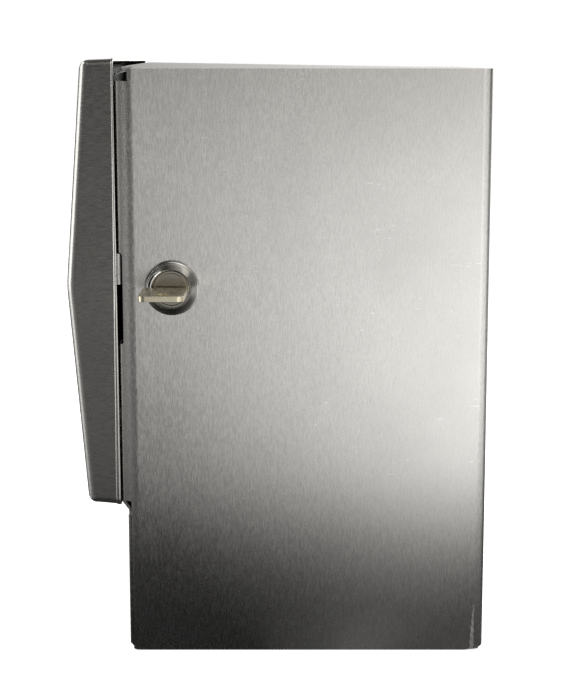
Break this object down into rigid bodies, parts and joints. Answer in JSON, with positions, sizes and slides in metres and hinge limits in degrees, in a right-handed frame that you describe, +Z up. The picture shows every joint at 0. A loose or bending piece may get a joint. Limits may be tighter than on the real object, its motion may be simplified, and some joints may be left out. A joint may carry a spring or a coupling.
{
  "type": "bus fare box",
  "caption": "Lockable stainless fare box: folded sheet body, peaked pan door on a side hinge, cam lock with key, top fare slot, coin funnel and lift-out cash bin with a wire handle.",
  "frame": {"origin": "centre of the body's bottom face, which stands on the floor; the key, the hinge and the door lie outside that centring", "axes": "+Z up, -Y the front with the door, +X the side with the cam lock"},
  "size_m": [0.2127, 0.1711, 0.244],
  "materials": {
    "satin_steel": "brushed stainless sheet, fine straight grain",
    "bright_steel": "plain mill-finish stainless",
    "chrome": "polished plating on a die-cast lock",
    "zinc": "dull zinc plating on steel",
    "brass": "plain stamped brass",
    "nickel": "nickel-plated brass, worn warm"
  },
  "bodies": {
    "body": {"body_shell": "satin_steel", "bottom_pan": "satin_steel", "hinge_leaf_body": "bright_steel", "hinge_pin": "bright_steel", "hinge_rivet_body_1": "bright_steel", "hinge_rivet_body_2": "bright_steel", "hinge_rivet_body_3": "bright_steel", "lock_housing": "chrome", "lock_washer": "zinc", "lock_nut": "zinc", "coin_funnel": "satin_steel", "funnel_stud_1": "bright_steel", "funnel_stud_2": "bright_steel", "funnel_nut_1": "zinc", "funnel_nut_2": "zinc"},
    "door": {"door_pan": "satin_steel", "latch_strike": "bright_steel", "hinge_leaf_door": "bright_steel", "hinge_rivet_door_1": "bright_steel", "hinge_rivet_door_2": "bright_steel", "hinge_rivet_door_3": "bright_steel"},
    "lock_core": {"lock_plug": "chrome", "lock_cam": "zinc", "cam_washer": "zinc", "cam_screw": "zinc", "lock_wafer_1": "brass", "lock_wafer_2": "brass", "lock_wafer_3": "brass", "lock_wafer_4": "brass"},
    "key": {"key": "nickel"},
    "bin": {"cash_bin": "bright_steel", "bail_ear_left": "bright_steel", "bail_ear_right": "bright_steel", "ear_rivet_left": "bright_steel", "ear_rivet_right": "bright_steel"},
    "bail": {"bin_bail": "bright_steel"}
  },
  "joints": [
    {"name": "door_hinge", "type": "hinge", "parent": "body", "child": "door", "pos_m": [-0.089, -0.075, 0.149], "axis": [0, 0, -1], "range_deg": [0, 110]},
    {"name": "lock_turn", "type": "hinge", "parent": "body", "child": "lock_core", "pos_m": [0.089, -0.053, 0.153], "axis": [-1, 0, 0], "range_deg": [0, 90]},
    {"name": "key_pull", "type": "slide", "parent": "lock_core", "child": "key", "axis": [1, 0, 0], "range_m": [0, 0.024]},
    {"name": "bin_lift", "type": "slide", "parent": "body", "child": "bin", "axis": [0, 0, 1], "range_m": [0, 0.073]},
    {"name": "bail_swing", "type": "hinge", "parent": "bin", "child": "bail", "pos_m": [0, 0, 0.0898], "axis": [-1, 0, 0], "range_deg": [0, 180]}
  ]
}
